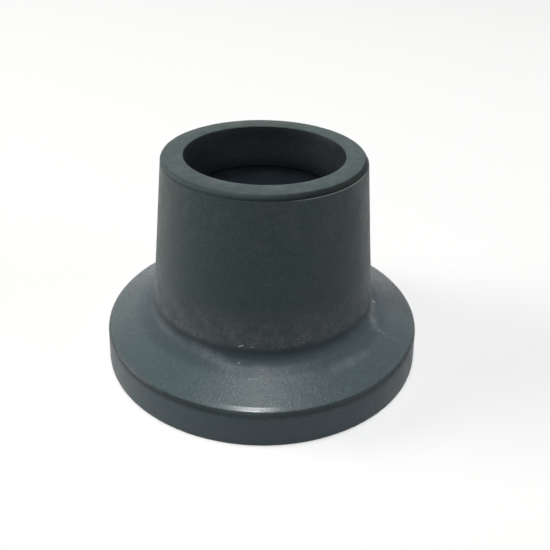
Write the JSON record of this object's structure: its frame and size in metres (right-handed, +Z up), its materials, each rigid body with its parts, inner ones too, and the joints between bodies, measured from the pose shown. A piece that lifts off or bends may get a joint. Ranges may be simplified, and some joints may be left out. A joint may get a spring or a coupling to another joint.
{
  "type": "chair leg tip",
  "caption": "Round rubber leg tip: a wide flanged foot with a tapered collar and a shallow round socket for the end of a tubular leg.",
  "frame": {"origin": "centre of the underside, on the plane that the tip stands on", "axes": "+Z up along the axis of the socket, out of its mouth; X and Y lie in the floor and are alike, because the tip is round"},
  "size_m": [0.055, 0.055, 0.0357],
  "materials": {
    "rubber": "matte dark blue-grey moulded rubber"
  },
  "bodies": {
    "root": {"leg_tip": "rubber"}
  },
  "joints": []
}
